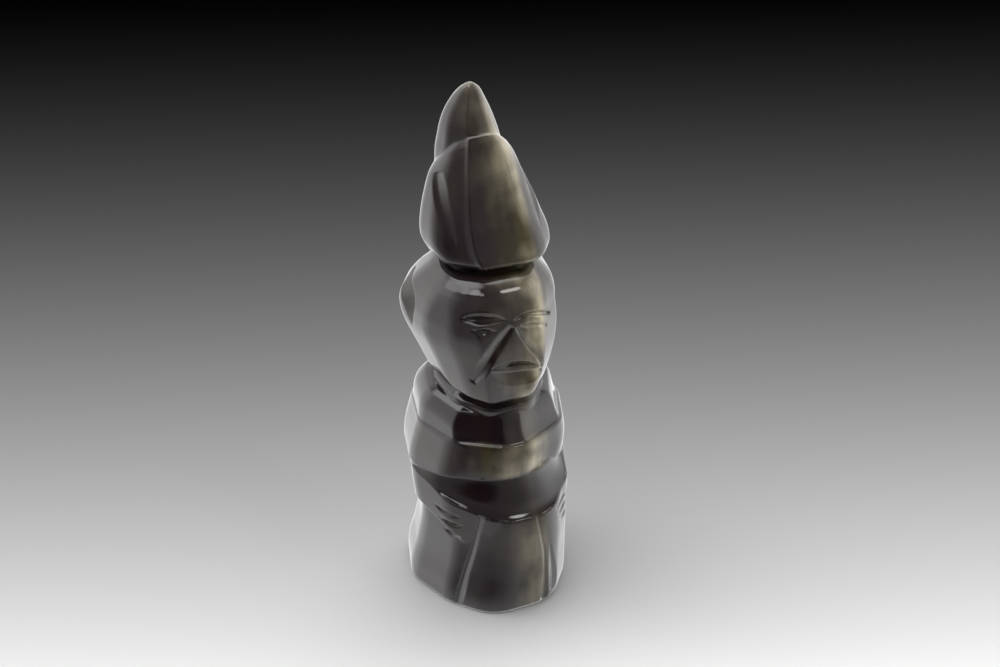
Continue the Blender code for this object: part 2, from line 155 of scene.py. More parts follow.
headTier = {
    "corners": ((0.36, 1.0, 6.0), (0.68, 0.66, 3.0), (1.0, -0.50, 6.0), (0.66, -1.0, 8.0)),
    "rightCorners": (
        (-0.48, 0.99, 2.5), (-0.74, 0.70, 14.0), (-0.93, 0.26, 14.0), (-1.0, -0.48, 7.0), (-0.66, -1.0, 8.0),
    ),
    "above": {
        "from": 113.0, "to": 120.0,
        "corners": ((0.42, 1.0, 16.0), (0.86, 0.52, 16.0), (1.0, -0.40, 12.0), (0.66, -1.0, 9.0)),
        "rightCorners": (
            (-0.42, 1.0, 16.0), (-0.80, 0.68, 16.0), (-0.97, 0.26, 16.0), (-1.0, -0.40, 12.0),
            (-0.66, -1.0, 9.0),
        ),
    },
    "soft": ((85.0, 121.0, 14),),
    "rings": (
        (81.0, 17.0, 11.0, 13.0, 0.8, 0.0),
        (83.0, 22.2, 14.2, 16.7, 0.8, -0.06),
        (84.2, 22.9, 15.6, 18.4, 0.6, -0.05),
        (90.0, 24.2, 18.6, 20.9, 0.9, -0.03),
        (97.0, 24.8, 21.2, 23.8, 0.9, 0.0),
        (104.0, 25.1, 23.0, 26.0, 0.3, 0.0),
        (111.0, 25.0, 23.6, 26.4, -0.1, 0.0),
        (116.0, 24.5, 21.6, 24.2, 0.1, 0.04),
        (119.5, 23.2, 19.0, 21.4, 0.1, 0.04),
        (122.4, 20.9, 16.4, 18.4, 0.1, 0.03),
        (124.0, 18.6, 14.6, 16.4, 0.0, 0.03),
        (124.6, 17.2, 13.4, 15.0, 0.0, 0.03),
        (124.9, 12.0, 11.0, 12.0, 0.0, 0.0),
        (127.0, 9.0, 9.0, 10.0, 0.0, 0.0),
    ),
}
headdressTier = {
    "corners": ((0.60, 1.0, 9.0), (0.96, 0.44, 8.0), (1.0, -0.28, 8.0), (0.62, -1.0, 9.0)),
    "rightCorners": (
        (-0.46, 0.93, 0.3), (-0.535, 0.80, 0.3), (-0.96, 0.38, 8.0), (-1.0, -0.28, 8.0),
        (-0.62, -1.0, 9.0),
    ),
    "rings": (
        (121.0, 10.5, 9.5, 11.0, 0.0, 0.0),
        (126.6, 11.5, 10.5, 12.5, 0.2, 0.0),
        (127.5, 15.6, 14.6, 16.4, 0.8, 0.0),
        (128.2, 17.0, 16.0, 18.3, 0.9, 0.0),
        (129.4, 17.3, 16.6, 19.2, 1.0, 0.0),
        (133.5, 15.0, 18.4, 20.4, 0.5, 0.0),
        (140.0, 11.4, 18.8, 19.1, -0.1, 0.0),
        (146.0, 8.2, 18.8, 17.3, -0.2, 0.0),
        (151.0, 5.6, 18.8, 15.5, -0.1, 0.0),
        (154.4, 2.8, 18.8, 13.6, 0.1, 0.15),
        (157.2, 0.3, 18.8, 11.8, 0.4, 0.40),
        (159.6, -2.0, 18.6, 9.0, 0.0, 0.70),
        (160.3, -2.9, 18.0, 7.4, -0.4, 0.70),
        (162.4, -5.2, 16.6, 5.6, -0.4, 0.70),
    ),
}
peakTier = {
    "corners": ((0.58, 0.98, 4.0), (0.94, 0.42, 5.0), (1.0, -0.30, 6.0), (0.50, -1.0, 5.0)),
    "rightCorners": (
        (0.02, 1.03, 2.0), (-0.40, 0.98, 0.4), (-0.92, 0.30, 5.0), (-1.0, -0.30, 6.0), (-0.50, -1.0, 5.0),
    ),
    "rings": (
        (148.0, -0.8, 22.0, 11.0, -0.4, 0.0),
        (158.0, -1.0, 22.4, 10.6, -0.4, 0.0),
        (162.0, -1.9, 22.0, 9.9, -0.3, 0.0),
        (166.0, -3.9, 21.2, 9.0, -0.3, 0.0),
        (170.0, -5.9, 20.0, 7.6, -0.2, 0.0),
        (174.5, -7.6, 17.8, 5.4, 0.0, 0.0),
        (178.0, -8.9, 14.8, 3.2, 0.2, 0.0),
        (180.0, -10.4, 12.0, 0.8, 0.2, 0.0),
    ),
}

# floors of a hollow, as points of (share of the way across, share of the depth)
scoopFloor = (
    (0.03, 0.60), (0.08, 0.90), (0.16, 1.02), (0.30, 1.02), (0.45, 0.95), (0.60, 0.83), (0.72, 0.69),
    (0.82, 0.51), (0.90, 0.32), (0.96, 0.14),
)
earlyFloor = ((0.2, 1.0),)
leafFloor = ((0.33, 0.55), (0.66, 1.0))
middleFloor = ((0.5, 1.0),)
lateFloor = ((0.64, 1.0),)

# Carving between two edges, as points of (across, forward, height). The edges are laid on the surface
# unless they are free. Over is how far the cutter stands out, and run how far it goes on past its end.
hollows = {
    "scoop": {
        "one": (
            (-26.0, -3.0, 48.5), (-23.0, 7.5, 51.0), (-17.0, 16.5, 52.5), (-9.0, 22.5, 53.0),
            (1.5, 25.0, 53.0), (12.0, 22.5, 52.5), (20.0, 15.5, 51.0), (25.5, 5.5, 49.0),
            (27.5, -7.5, 46.0),
        ),
        "other": (
            (-26.0, -3.0, 48.0), (-23.5, 8.0, 45.0), (-18.0, 17.0, 42.0), (-10.0, 24.5, 39.0),
            (1.5, 28.0, 37.0), (13.5, 25.5, 37.5), (22.0, 17.0, 40.0), (26.5, 6.0, 41.5),
            (28.0, -7.5, 44.5),
        ),
        "depth": 4.8, "floor": scoopFloor, "over": 8.0, "stations": 48, "free": True,
    },
    "right wing groove": {
        "one": (
            (-12.5, -4.0, 155.0), (-12.5, -0.5, 152.0), (-13.0, 2.5, 148.0), (-13.0, 5.5, 143.0),
            (-13.5, 9.5, 135.0),
        ),
        "other": (
            (-14.0, -8.0, 153.0), (-15.5, -4.5, 149.0), (-16.5, -0.5, 145.0), (-16.0, 3.5, 140.5),
            (-14.0, 9.5, 135.0),
        ),
        "depth": 0.75, "floor": leafFloor, "over": 3.0,
    },
    "left wing groove": {
        "one": (
            (13.0, -4.0, 155.0), (13.0, -0.5, 152.0), (13.5, 2.5, 148.0), (13.5, 5.5, 143.0),
            (14.0, 9.5, 135.0),
        ),
        "other": (
            (14.5, -8.0, 153.0), (16.0, -4.5, 149.0), (17.0, -0.5, 145.0), (16.5, 3.5, 140.5),
            (14.5, 9.5, 135.0),
        ),
        "depth": 0.75, "floor": leafFloor, "over": 3.0,
    },
    "right ear hollow": {
        "one": (
            (-20.0, -14.5, 119.5), (-22.5, -7.0, 117.0), (-24.0, -1.5, 114.5), (-24.5, 0.5, 110.5),
            (-24.5, -2.5, 103.0),
        ),
        "other": (
            (-20.5, -16.5, 117.5), (-24.5, -12.0, 113.5), (-25.5, -7.5, 109.0), (-25.0, -5.0, 105.0),
            (-24.0, -3.0, 102.0),
        ),
        "depth": 2.2, "floor": earlyFloor,
    },
    "left ear hollow": {
        "one": (
            (20.0, -14.5, 119.5), (23.0, -7.0, 117.0), (24.5, -1.5, 114.5), (25.0, 0.5, 110.5),
            (24.5, -2.5, 103.0),
        ),
        "other": (
            (21.0, -16.5, 117.5), (24.5, -12.0, 113.5), (26.0, -7.5, 109.0), (25.5, -5.0, 105.0),
            (24.5, -3.0, 102.0),
        ),
        "depth": 2.2, "floor": earlyFloor,
    },
    "right upper eyelid": {
        "one": (
            (-17.0, 19.0, 114.5), (-14.5, 20.5, 117.0), (-9.0, 23.5, 117.5), (-5.0, 24.0, 116.0),
            (-3.0, 24.5, 114.0),
        ),
        "other": (
            (-17.0, 19.0, 114.5), (-15.5, 21.0, 114.0), (-11.5, 24.5, 113.5), (-6.0, 24.5, 113.5),
            (-3.0, 24.5, 113.5),
        ),
        "depth": 1.8, "floor": lateFloor, "over": 5.0,
    },
    "right lower eyelid": {
        "one": (
            (-15.0, 22.0, 112.0), (-13.5, 23.5, 112.5), (-11.0, 24.5, 113.0), (-8.5, 24.5, 112.0),
            (-6.5, 25.0, 111.0),
        ),
        "other": (
            (-15.0, 22.0, 111.5), (-13.5, 23.5, 111.0), (-12.0, 24.5, 110.0), (-9.5, 24.5, 110.0),
            (-6.5, 25.0, 110.5),
        ),
        "depth": 1.3, "floor": middleFloor, "over": 5.0,
    },
    "left brow": {
        "one": (
            (-1.0, 24.5, 113.5), (1.5, 24.5, 115.0), (5.0, 24.5, 115.5), (8.5, 24.0, 115.0),
            (14.0, 20.5, 111.5),
        ),
        "other": (
            (-0.5, 24.5, 113.0), (2.0, 24.5, 113.0), (5.0, 24.5, 113.5), (9.0, 24.0, 112.5),
            (13.5, 21.0, 110.0),
        ),
        "depth": 1.3, "floor": lateFloor, "over": 5.0,
    },
    "left eyelid": {
        "one": (
            (1.5, 25.0, 111.5), (3.5, 25.0, 111.5), (6.0, 25.0, 111.5), (8.5, 24.5, 110.5),
            (11.5, 23.0, 108.5),
        ),
        "other": (
            (1.5, 25.0, 110.5), (3.5, 25.0, 109.5), (6.0, 25.0, 109.0), (8.5, 25.0, 109.0),
            (12.0, 22.5, 107.0),
        ),
        "depth": 1.2, "floor": middleFloor, "over": 5.0,
    },
    "right nose groove": {
        "one": (
            (-2.5, 25.0, 112.5), (-6.5, 25.0, 109.5), (-10.5, 25.0, 104.5), (-13.5, 22.5, 98.5),
            (-14.5, 19.0, 92.0),
        ),
        "other": (
            (-0.5, 25.0, 110.5), (-3.5, 25.0, 105.5), (-6.5, 25.0, 101.0), (-9.5, 24.0, 96.0),
            (-12.0, 20.5, 90.0),
        ),
        "depth": 1.15, "floor": lateFloor, "over": 5.0,
    },
    "left nose groove": {
        "one": (
            (-0.5, 25.0, 110.5), (2.5, 25.0, 105.0), (5.5, 25.0, 100.0), (8.5, 25.0, 95.5),
            (10.0, 24.5, 92.5),
        ),
        "other": (
            (0.5, 25.0, 111.0), (4.5, 25.0, 106.0), (8.0, 25.0, 101.0), (11.0, 24.5, 96.0),
            (12.5, 23.5, 92.5),
        ),
        "depth": 1.3, "floor": earlyFloor, "over": 5.0,
    },
    "mouth": {
        "one": (
            (-9.0, 24.5, 97.5), (-5.0, 24.5, 98.0), (-1.0, 24.5, 98.5), (3.5, 25.0, 97.5),
            (8.5, 24.5, 94.5),
        ),
        "other": (
            (-9.0, 24.5, 97.0), (-4.5, 24.5, 96.0), (0.0, 24.5, 95.0), (4.5, 24.5, 94.5),
            (8.5, 24.5, 94.0),
        ),
        "depth": 2.2, "floor": middleFloor, "over": 5.0,
    },
    "lower lip": {
        "one": (
            (-9.0, 24.5, 96.5), (-4.5, 24.5, 95.5), (0.0, 24.5, 94.5), (4.5, 24.5, 94.0),
            (9.5, 23.5, 92.5),
        ),
        "other": (
            (-9.0, 24.5, 96.0), (-5.5, 24.0, 91.0), (-1.0, 24.0, 88.5), (4.5, 24.0, 88.0),
            (10.5, 21.5, 90.0),
        ),
        "depth": 1.5, "floor": earlyFloor, "over": 5.0,
    },
    "right panel edge": {
        "one": (
            (-12.5, 23.0, 43.5), (-13.0, 23.0, 40.5), (-14.0, 21.0, 31.0), (-15.5, 19.5, 22.0),
            (-17.5, 18.0, 13.0), (-20.0, 17.0, 1.0),
        ),
        "other": (
            (-10.0, 25.0, 43.5), (-10.5, 25.0, 41.0), (-11.5, 23.0, 32.0), (-13.0, 21.5, 22.5),
            (-15.0, 20.5, 13.5), (-17.5, 19.5, 1.0),
        ),
        "depth": 1.0, "floor": earlyFloor, "run": 2.5,
    },
    "left panel edge": {
        "one": (
            (6.0, 28.0, 38.0), (8.0, 28.0, 27.5), (9.0, 28.0, 20.5), (9.0, 28.0, 11.5),
            (8.0, 28.0, 1.0),
        ),
        "other": (
            (7.5, 28.0, 38.0), (9.0, 27.5, 28.5), (10.5, 27.5, 21.0), (11.0, 27.5, 12.0),
            (11.5, 27.0, 1.0),
        ),
        "depth": 1.0, "floor": middleFloor, "run": 2.5,
    },
    "left leg facet": {
        "one": (
            (11.5, 27.0, 25.5), (11.5, 27.0, 19.0), (11.5, 27.0, 13.5), (12.0, 27.0, 8.0),
            (12.0, 27.0, 3.5),
        ),
        "other": (
            (12.0, 27.0, 25.0), (14.0, 26.0, 18.5), (15.5, 24.5, 12.5), (16.5, 23.5, 6.5),
            (16.0, 24.0, 2.5),
        ),
        "depth": 0.7, "floor": middleFloor,
    },
}
fingers = {
    "right": (
        ((-23.0, 7.0, 38.5), (-21.5, 11.0, 37.0), (-20.0, 14.5, 37.0), (-16.0, 19.0, 37.0)),
        ((-22.5, 8.0, 33.5), (-20.0, 14.0, 33.0), (-18.0, 16.5, 33.0), (-16.0, 19.0, 34.0)),
        ((-20.0, 8.5, 28.0), (-19.0, 12.0, 27.5), (-18.0, 14.5, 27.5), (-16.5, 18.0, 28.5)),
    ),
    "left": (
        ((25.5, 10.0, 34.0), (22.5, 15.5, 34.5), (19.0, 20.0, 35.0), (14.0, 25.5, 35.5)),
        ((25.5, 9.5, 30.0), (22.0, 16.5, 31.0), (19.0, 20.5, 31.5), (15.5, 24.0, 32.0)),
        ((24.5, 11.5, 26.0), (23.0, 15.5, 27.0), (20.5, 18.5, 27.5), (16.5, 23.5, 29.5)),
    ),
}
fingerGroove = {"halfWidth": 1.0, "depth": 1.1, "ends": 0.1}  # ends is its size there, as a share


def rounded(corners, steps):
    points = []
    count = len(corners)
    for index, (corner, rounding) in enumerate(corners):
        before = corners[index - 1][0]
        after = corners[(index + 1) % count][0]
        back = (before - corner).normalized()
        ahead = (after - corner).normalized()
        halfTurn = (pi - back.angle(ahead)) / 2
        shorter = min((before - corner).length, (after - corner).length)
        reach = min(rounding * tan(halfTurn), idolPiece["cornerShare"] * shorter)
        start = corner + back * reach
        end = corner + ahead * reach
        for step in range(steps + 1):
            share = step / steps
            inner = start.lerp(corner, share)
            outer = corner.lerp(end, share)
            points.append(inner.lerp(outer, share))
    return points


def outline(tier, height):
    # the left side's corners then the right side's, changing towards the tier's top
    mirrored = [(-across, along, rounding) for across, along, rounding in tier["corners"]]
    corners = list(tier["corners"]) + list(reversed(tier.get("rightCorners", mirrored)))
    if "above" not in tier:
        return corners
    above = tier["above"]
    share = min(max((height - above["from"]) / (above["to"] - above["from"]), 0.0), 1.0)
    upper = list(above["corners"]) + list(reversed(above["rightCorners"]))
    return [[a + (b - a) * share for a, b in zip(low, high)] for low, high in zip(corners, upper)]


def section(tier, ring, steps):
    # a ring's own outline, in mm, with its corners rounded
    height, front, back, half, shift, slope = ring
    middle = (front - back) / 2
    depth = (front + back) / 2
    corners = []
    for across, along, rounding in outline(tier, height):
        corners.append((Vector((across * half, middle + along * depth)), rounding))
    points = []
    for point in rounded(corners, steps):
        rise = slope * (point.y - middle)
        points.append(axis + Vector((point.x + shift, -point.y, height + rise)))
    return points


def gradients(rings):
    # monotone slopes, so that a tier never bulges past its own rings
    spans = [upper[0] - lower[0] for lower, upper in zip(rings, rings[1:])]
    table = []
    for column in zip(*rings):
        steep = [(b - a) / span for a, b, span in zip(column, column[1:], spans)]
        slopes = [steep[0]]
        for before, after, low, high in zip(steep, steep[1:], spans, spans[1:]):
            if before * after <= 0:
                slopes.append(0.0)
                continue
            first = 2 * high + low
            second = high + 2 * low
            slopes.append((first + second) / (first / before + second / after))
        slopes.append(steep[-1])
        table.append(slopes)
    return list(zip(*table))


def between(rings, slopes, index, share):
    # a ring's values part of the way up to the next one
    span = rings[index + 1][0] - rings[index][0]
    values = []
    for a, b, p, q in zip(rings[index], rings[index + 1], slopes[index], slopes[index + 1]):
        bend = (p - (b - a) / span) * (1 - share) - (q - (b - a) / span) * share
        values.append(a + (b - a) * share + bend * span * share * (1 - share))
    return values


def addObject(name, bm):
    mesh = bpy.data.meshes.new(name)
    bm.to_mesh(mesh)
    bm.free()
    piece = bpy.data.objects.new(name, mesh)
    bpy.context.scene.collection.objects.link(piece)
    return piece


def skin(name, rings):
    # one closed solid over a row of section rings
    bm = bmesh.new()
    placed = [[bm.verts.new(point * mm) for point in ring] for ring in rings]
    count = len(rings[0])
    for lower, upper in zip(placed, placed[1:]):
        for place in range(count):
            after = (place + 1) % count
            bm.faces.new((lower[place], lower[after], upper[after], upper[place]))
    bm.faces.new(reversed(placed[0]))
    bm.faces.new(placed[-1])
    if bm.calc_volume(signed=True) < 0:
        bmesh.ops.reverse_faces(bm, faces=bm.faces)
    bmesh.ops.triangulate(bm, faces=bm.faces)
    return addObject(name, bm)


def softened(levels, low, high, rounds):
    # evens out how the sizes change from level to level
    for turn in range(rounds):
        before = levels[:]
        for index in range(1, len(levels) - 1):
            if low < levels[index][0] < high:
                around = list(zip(before[index - 1], before[index], before[index + 1]))
                levels[index] = [before[index][0]] + [(a + 2 * b + c) / 4 for a, b, c in around[1:]]
    return levels


def loft(name, tier):
    rings = tier["rings"]
    slopes = gradients(rings)
    levels = [rings[0]]
    for index in range(len(rings) - 1):
        parts = ceil((rings[index + 1][0] - rings[index][0]) / idolPiece["ringSpacing"])
        for part in range(1, parts + 1):
            levels.append(between(rings, slopes, index, part / parts))
    if "soft" in tier:
        for span in tier["soft"]:
            levels = softened(levels, *span)
    return skin(name, [section(tier, level, idolPiece["bendSteps"]) for level in levels])


def spot(across, forward, height):
    return axis + Vector((across, -forward, height))


def smoothRoute(points, count):
    # a smooth curve through the points
    last = len(points) - 1
    route = []
    for step in range(count + 1):
        place = last * step / count
        index = min(int(place), last - 1)
        share = place - index
        b = points[index]
        c = points[index + 1]
        a = points[index - 1] if index else b * 2 - c
        d = points[index + 2] if index + 2 <= last else c * 2 - b
        bend = (a * 2 - b * 5 + c * 4 - d) * share ** 2 + (b * 3 - a - c * 3 + d) * share ** 3
        route.append(b + ((c - a) * share + bend) / 2)
    return route


def laid(surface, points, count):
    # brings a route down onto the surface
    route = smoothRoute([spot(*point) for point in points], count)
    nearest = [surface.find_nearest(point * mm)[0] / mm for point in route]
    return evened(nearest, idolPiece["laidRounds"])


def evened(vectors, rounds):
    for turn in range(rounds):
        inner = [(a + 2 * b + c) / 4 for a, b, c in zip(vectors, vectors[1:], vectors[2:])]
        vectors = [vectors[0]] + inner + [vectors[-1]]
    return vectors


def outward(along, across, point):
    # square to both directions, and away from the axis
    out = along.cross(across).normalized()
    away = Vector((point.x - axis.x, point.y - axis.y, 0.0))
    return out if out.dot(away) > 0 else -out


def hollow(name, surface, one, other, depth, floor, over=2.5, stations=24, run=0.0, free=False):
    # a cutter between two edges, with its floor under the surface and its top standing out of it
    if free:
        routes = [smoothRoute([spot(*point) for point in edge], stations) for edge in (one, other)]
        near, far = [evened(route, idolPiece["freeRounds"]) for route in routes]
    else:
        near, far = [laid(surface, edge, stations) for edge in (one, other)]
    widest = max((b - a).length for a, b in zip(near, far))
    lift = idolPiece["edgeLift"]
    outs = []
    for index in range(1, stations):
        along = near[index + 1] + far[index + 1] - near[index - 1] - far[index - 1]
        outs.append(outward(along, far[index] - near[index], near[index]))
    outs = evened(outs[:1] + outs + outs[-1:], idolPiece["outRounds"])
    rings = []
    for a, b, out in zip(near, far, outs):
        across = b - a
        drop = depth * max(across.length / widest, idolPiece["leastDepth"])
        ring = [a + out * over, a + out * lift]
        ring += [a + across * share - out * drop * deep for share, deep in floor]
        ring += [b + out * lift, b + out * over]
        rings.append(ring)
    if run:
        rings.append([b + (b - a).normalized() * run for a, b in zip(rings[-2], rings[-1])])
    return skin(name, rings)


def slit(name, surface, route, halfWidth, depth, ends, over=1.5, stations=16):
    # a V-shaped cutter along a route, deepest at its middle
    points = laid(surface, route, stations)
    rings = []
    for index, point in enumerate(points):
        share = index / stations
        size = ends + 4 * (1 - ends) * share * (1 - share)
        along = (points[min(index + 1, stations)] - points[max(index - 1, 0)]).normalized()
        side = along.cross(Vector((point.x - axis.x, point.y - axis.y, 0.0))).normalized()
        out = side.cross(along)
        flare = side * halfWidth * size * (1 + over / depth)
        rings.append([point - out * depth * size, point + flare + out * over, point - flare + out * over])
    return skin(name, rings)


def gather(name, pieces):
    group = bpy.data.collections.new(name)
    for piece in pieces:
        group.objects.link(piece)
    return group


def combine(piece, others, operation):
    step = piece.modifiers.new(operation.lower(), "BOOLEAN")
    step.operation = operation
    step.solver = "EXACT"
    step.operand_type = "COLLECTION"
    step.collection = gather(operation.lower(), others)


def settle(piece):
    # works the modifiers into the mesh
    bpy.context.view_layer.update()
    graph = bpy.context.evaluated_depsgraph_get()
    mesh = bpy.data.meshes.new_from_object(piece.evaluated_get(graph))
    piece.modifiers.clear()
    piece.data = mesh


def clear(pieces):
    for piece in pieces:
        bpy.data.objects.remove(piece, do_unlink=True)
    for group in list(bpy.data.collections):
        if not group.objects:
            bpy.data.collections.remove(group)


def belowArm(side):
    # a block whose slanting top is the arms' lower edge on one side
    lean = atan2(armCut["steep"], 1.0)
    turn = Matrix.Rotation(-lean * side, 4, "Y")
    bm = bmesh.new()
    bmesh.ops.create_cube(bm, size=1.0)
    size = Vector((armCut["width"], armCut["width"], armCut["height"]))
    bmesh.ops.scale(bm, vec=size * mm, verts=bm.verts)
    centre = spot(0.0, 0.0, armCut["rise"]) - turn.to_3x3() @ Vector((0.0, 0.0, size.z / 2))
    bmesh.ops.transform(bm, matrix=Matrix.Translation(centre * mm) @ turn, verts=bm.verts)
    return addObject("underArm", bm)


idol = loft("idolStone", skirtTier)
arms = loft("arms", armTier)
blocks = [belowArm(side) for side in (-1, 1)]
combine(arms, blocks, "DIFFERENCE")
settle(arms)
clear(blocks)
upperTiers = {
    "chest": chestTier, "neck": neckTier, "head": headTier, "headdress": headdressTier, "peak": peakTier,
}
tiers = [arms] + [loft(name, tier) for name, tier in upperTiers.items()]
combine(idol, tiers, "UNION")
settle(idol)
clear(tiers)
print("tiers joined", len(idol.data.polygons))

uncut = BVHTree.FromObject(idol, bpy.context.evaluated_depsgraph_get())
cutters = [hollow(name, uncut, **cut) for name, cut in hollows.items()]
for side, hand in fingers.items():
    for route in hand:
        cutters.append(slit(side + " finger", uncut, route, **fingerGroove))
combine(idol, cutters, "DIFFERENCE")
settle(idol)
clear(cutters)
print("carving cut", len(idol.data.polygons))

# the wheel leaves crisp edges, and polishing rounds them over
remesh = idol.modifiers.new("remesh", "REMESH")
remesh.mode = "VOXEL"
remesh.voxel_size = idolPiece["voxel"] * mm
settle(idol)
print("remeshed", len(idol.data.polygons))


def smoothSurface(piece, rounds, factor):
    # evens out the voxel steps; the flat underside keeps its height, and nothing leaves the solid's box
    bm = bmesh.new()
    bm.from_mesh(piece.data)
    free = [vert for vert in bm.verts if vert.co.z > idolPiece["flatBelow"] * mm]
    ways = {"use_axis_x": True, "use_axis_y": True, "use_axis_z": True}
    for turn in range(rounds):
        bmesh.ops.smooth_vert(bm, verts=free, factor=factor, **ways)
    low, high = sizeBefore
    for vert in bm.verts:
        vert.co = [min(max(value, a), b) for value, a, b in zip(vert.co, low, high)]
    bm.to_mesh(piece.data)
    bm.free()


smoothSurface(idol, idolPiece["smoothing"], idolPiece["smoothFactor"])
triangles = sum(len(face.vertices) - 2 for face in idol.data.polygons)
thin = idol.modifiers.new("thin", "DECIMATE")
thin.ratio = min(1.0, idolPiece["triangles"] / triangles)
settle(idol)
idol.data.shade_smooth()
print("smoothed", len(idol.data.polygons))


def linear(hexColour):
    # sRGB hex to the linear values Blender works in
    values = [int(hexColour[place:place + 2], 16) / 255 for place in (1, 3, 5)]
    return [v / 12.92 if v <= 0.04045 else ((v + 0.055) / 1.055) ** 2.4 for v in values] + [1.0]


def setStops(ramp, stops):
    # a stop's colour is sRGB hex, or a plain amount from 0 to 1
    while len(ramp.elements) < len(stops):
        ramp.elements.new(0.5)
    for element, (at, colour) in zip(ramp.elements, stops):
        element.position = at
        element.color = linear(colour) if isinstance(colour, str) else (colour, colour, colour, 1.0)


def addNode(tree, kind, settings=None, links=None):
    node = tree.nodes.new(kind)
    for name, value in (settings or {}).items():
        if name == "stops":
            setStops(node.color_ramp, value)
        elif isinstance(name, str) and hasattr(node, name):
            setattr(node, name, value)
        else:
            node.inputs[name].default_value = value
    for name, source in (links or {}).items():
        tree.links.new(source, node.inputs[name])
    return node


# near-black stone with an olive-gold silk in steep bands, shaped with lapidary wheels and polished: the
# clear gloss throws crisp reflections, and the silk shows soft and warm beneath them. The bands are painted
# sheen, laid where the sheen shows from the camera's side; the silk's metallic lobe still answers the lamps
stoneLook = {
    "body": "#1d1319",
    "brown": "#221616",
    "bodyShares": (0.38, 0.66),
    # colours of the silk and of its painted sheen
    "silkAndPaintedSheen": "#b6ac90",
    "silkAndPaintedSheenDark": "#57502f",
    "silkAndPaintedSheenShares": (0.40, 0.60),
    # how strong the painted sheen and its silk lie, as (mm, amount): from the figure's right to its left,
    # then by height
    "paintedSheen": (
        (-10.0, 0.03), (-6.0, 0.10), (-3.0, 0.20), (0.0, 0.38), (2.5, 0.68),
        (6.0, 0.92), (8.5, 0.78), (10.5, 0.14), (16.0, 0.02),
    ),
    "paintedSheenLevels": (
        (34.0, 0.5), (40.0, 0.1), (54.0, 0.1), (56.0, 1.0), (64.0, 1.0), (67.0, 0.2), (78.0, 0.2),
        (84.0, 1.0),
    ),
    # a second band of painted sheen on the silk, which crosses the lower chest
    "paintedChestSheen": ((-17.0, 0.0), (-10.0, 0.70), (9.0, 0.65), (14.0, 0.0)),
    "paintedChestSheenLevels": ((53.0, 0.0), (55.0, 1.0), (65.0, 1.0), (67.0, 0.0)),
    # how far the bands of painted sheen wander, in mm
    "paintedSheenWander": 4.0,
    "cloudSize": 16.0,
    # bundles of fibres, in mm, leaning a little from upright; single ones are too fine to show
    "fibreWidth": 5.0,
    "fibreDepth": 12.5,
    "fibreLength": 30.0,
    "fibreLean": (0.08, 0.12, 0.3),  # radians
    "fibreWarp": 0.3,
    "threads": ((0.30, 0.35), (0.50, 0.75), (0.66, 1.0)),
    # grain, in mm, as coarse as it needs to be to show
    "grainSize": 0.30,
    "grainShares": (0.3, 0.7),
    "grainTones": (0.82, 1.12),
    # how metallic the silk and its painted sheen are
    "silkAndPaintedSheenMetal": 0.9,
    "silkRoughness": 0.42,
    "polishRoughness": 0.03,
    "polishIor": 1.55,
    # faint waves that polishing by hand leaves, in mm
    "wave": 5.0,
    "waveDepth": 0.012,
}


def strengthAt(tree, place, table):
    # reads a table of (mm, amount) rows at a place
    first, last = table[0][0], table[-1][0]
    stops = [((at - first) / (last - first), amount) for at, amount in table]
    share = addNode(tree, "ShaderNodeMapRange", {"From Min": first, "From Max": last}, {"Value": place})
    ramp = addNode(tree, "ShaderNodeValToRGB", {"stops": stops}, {"Fac": share.outputs["Result"]})
    return ramp.outputs["Color"]


